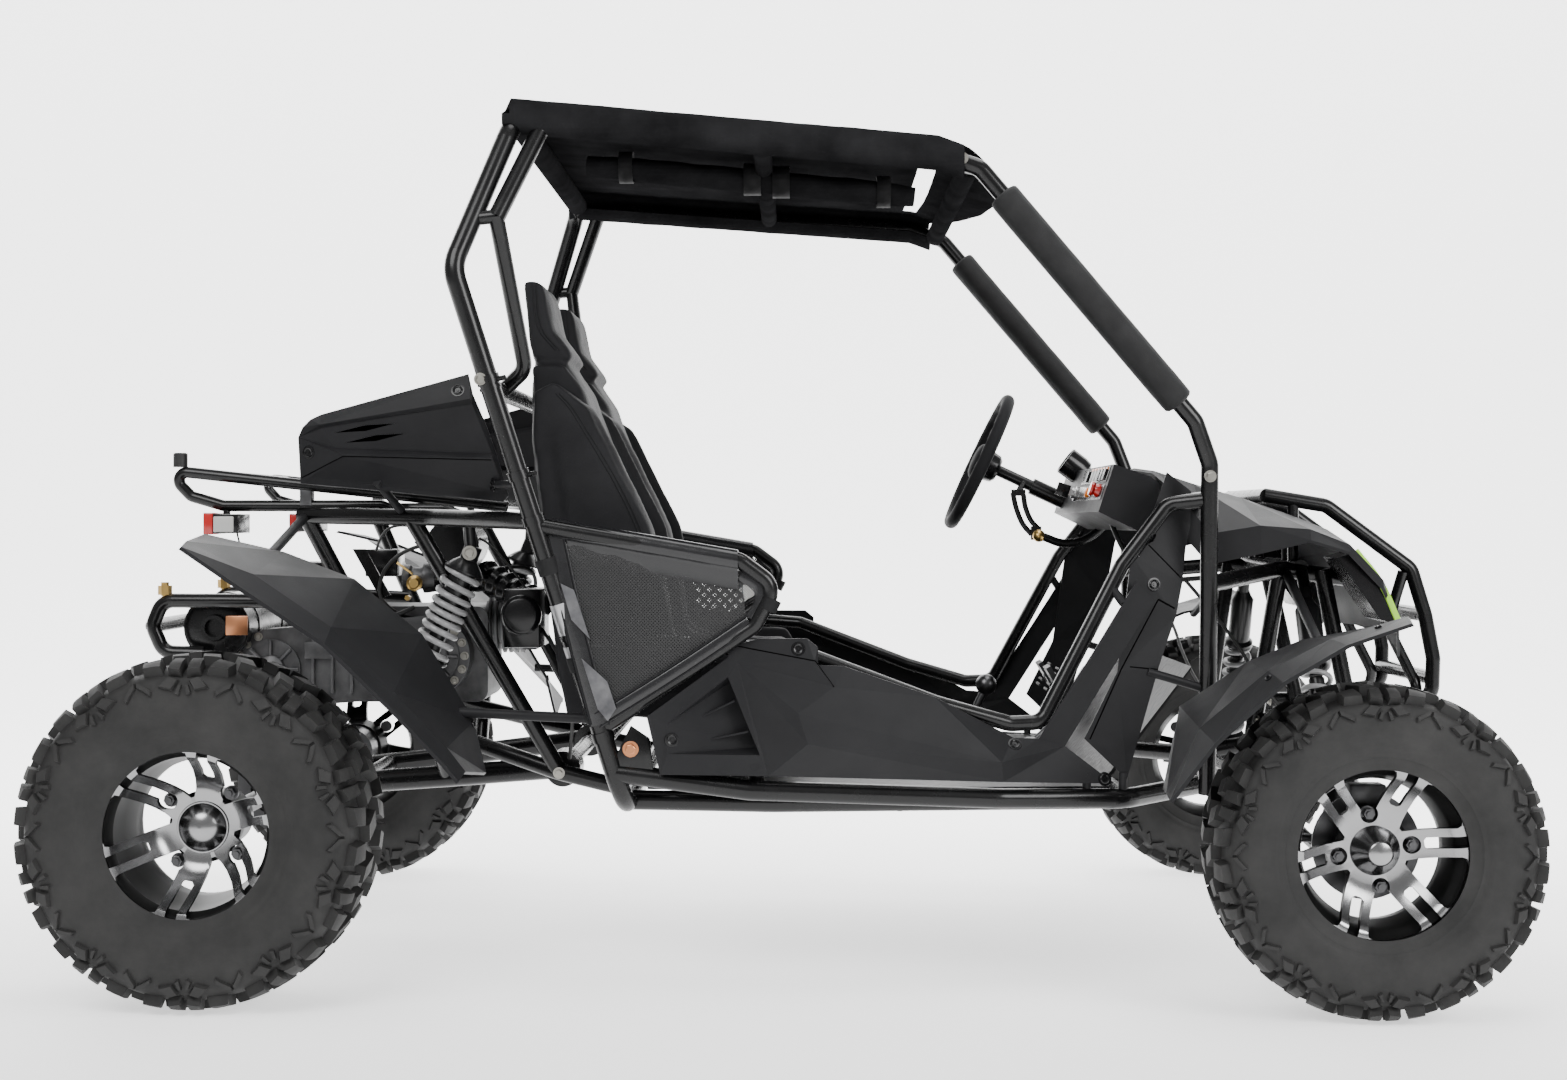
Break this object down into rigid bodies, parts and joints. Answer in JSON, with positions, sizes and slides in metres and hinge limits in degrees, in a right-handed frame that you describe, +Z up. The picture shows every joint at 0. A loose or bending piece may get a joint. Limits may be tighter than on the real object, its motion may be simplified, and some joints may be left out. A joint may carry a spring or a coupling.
{
  "type": "dune buggy",
  "caption": "Open two-seat off-road buggy with a welded tube frame, roll cage, cloth roof, moulded panels, steered front wheels and a live rear axle.",
  "frame": {"origin": "on the floor, under the middle of the buggy's length and width", "axes": "+X forward, +Y to the buggy's left, +Z up"},
  "size_m": [2.3, 1.56, 1.4143],
  "materials": {
    "frame_paint": "gloss black enamel on welded tube",
    "rack_paint": "satin black enamel",
    "tread_plate": "satin black painted plate",
    "body_plastic": "charcoal moulded plastic with a fine grain",
    "lamp_plastic": "gloss black lamp housing with a clear lens",
    "seat_vinyl": "black grained vinyl with sewn seams",
    "roof_cloth": "black coated woven cloth",
    "foam_sleeve": "black foam sleeve with a cloth skin",
    "net_cord": "black webbing net",
    "tail_lamp": "red and clear lamp lens",
    "engine_metal": "cast aluminium cases",
    "intake_plastic": "black canister and hose",
    "exhaust_steel": "black heat paint",
    "shock_steel": "light grey coil on a steel damper",
    "rod_steel": "dark plated steel rod",
    "axle_steel": "dark machined steel",
    "wheel_grip": "black moulded grip",
    "rim_alloy": "machined alloy wheel with dark pockets",
    "tyre_rubber": "black off-road tread rubber"
  },
  "bodies": {
    "chassis": {"main_hoop": "frame_paint", "lower_frame": "frame_paint", "roof_frame": "frame_paint", "rear_frame": "frame_paint", "entry_bars": "frame_paint", "side_bars": "frame_paint", "front_bumper": "frame_paint", "rear_rack": "rack_paint", "floor_pan": "tread_plate", "skirts": "body_plastic", "cowl_sides": "body_plastic", "front_cowl": "body_plastic", "dashboard": "body_plastic", "headlamps": "lamp_plastic", "rear_panels": "body_plastic", "rear_fenders": "body_plastic", "front_fenders": "body_plastic", "seat_left": "seat_vinyl", "seat_right": "seat_vinyl", "roof_canopy": "roof_cloth", "roof_pads": "roof_cloth", "pillar_pads": "foam_sleeve", "side_nets": "net_cord", "tail_lamps": "tail_lamp", "engine": "engine_metal", "intake": "intake_plastic", "exhaust": "exhaust_steel", "swing_arm": "frame_paint", "rear_shocks": "shock_steel", "front_arms": "frame_paint", "front_shocks": "shock_steel", "rack_housing": "frame_paint", "steering_column": "frame_paint", "pedals": "rod_steel", "shift_lever": "rod_steel"},
    "rear_axle_set": {"rear_axle": "axle_steel", "rear_rim_left": "rim_alloy", "rear_rim_right": "rim_alloy", "rear_tyre_left": "tyre_rubber", "rear_tyre_right": "tyre_rubber"},
    "front_knuckle_left": {"knuckle_left": "axle_steel"},
    "front_knuckle_right": {"knuckle_right": "axle_steel"},
    "front_wheel_left": {"front_rim_left": "rim_alloy", "front_tyre_left": "tyre_rubber"},
    "front_wheel_right": {"front_rim_right": "rim_alloy", "front_tyre_right": "tyre_rubber"},
    "tie_rods": {"steering_rack": "rod_steel"},
    "hand_wheel": {"steering_wheel": "wheel_grip"}
  },
  "joints": [
    {"name": "front_left_steer", "type": "hinge", "parent": "chassis", "child": "front_knuckle_left", "pos_m": [0.9, 0.6, 0.25], "axis": [0, 0, 1], "range_deg": [-24, 24]},
    {"name": "front_right_steer", "type": "hinge", "parent": "chassis", "child": "front_knuckle_right", "pos_m": [0.9, -0.6, 0.25], "axis": [0, 0, 1], "range_deg": [-24, 24]},
    {"name": "rack_slide", "type": "slide", "parent": "chassis", "child": "tie_rods", "axis": [0, 1, 0], "range_m": [-0.04, 0.04]},
    {"name": "steering_wheel_turn", "type": "hinge", "parent": "chassis", "child": "hand_wheel", "pos_m": [0.385, 0.245, 0.856], "axis": [-0.9063, 0, 0.4226], "range_deg": [-217, 217]},
    {"name": "front_left_roll", "type": "hinge", "parent": "front_knuckle_left", "child": "front_wheel_left", "pos_m": [0.9, 0.691, 0.25], "axis": [0, 1, 0], "continuous": true},
    {"name": "front_right_roll", "type": "hinge", "parent": "front_knuckle_right", "child": "front_wheel_right", "pos_m": [0.9, -0.691, 0.25], "axis": [0, 1, 0], "continuous": true},
    {"name": "rear_axle_roll", "type": "hinge", "parent": "chassis", "child": "rear_axle_set", "pos_m": [-0.88, 0, 0.27], "axis": [0, 1, 0], "continuous": true}
  ],
  "couplings": [
    {"joint": "front_right_steer", "follows": "front_left_steer", "ratio": 1},
    {"joint": "rack_slide", "follows": "front_left_steer", "m_per_rad": -0.095},
    {"joint": "steering_wheel_turn", "follows": "front_left_steer", "ratio": 9}
  ]
}
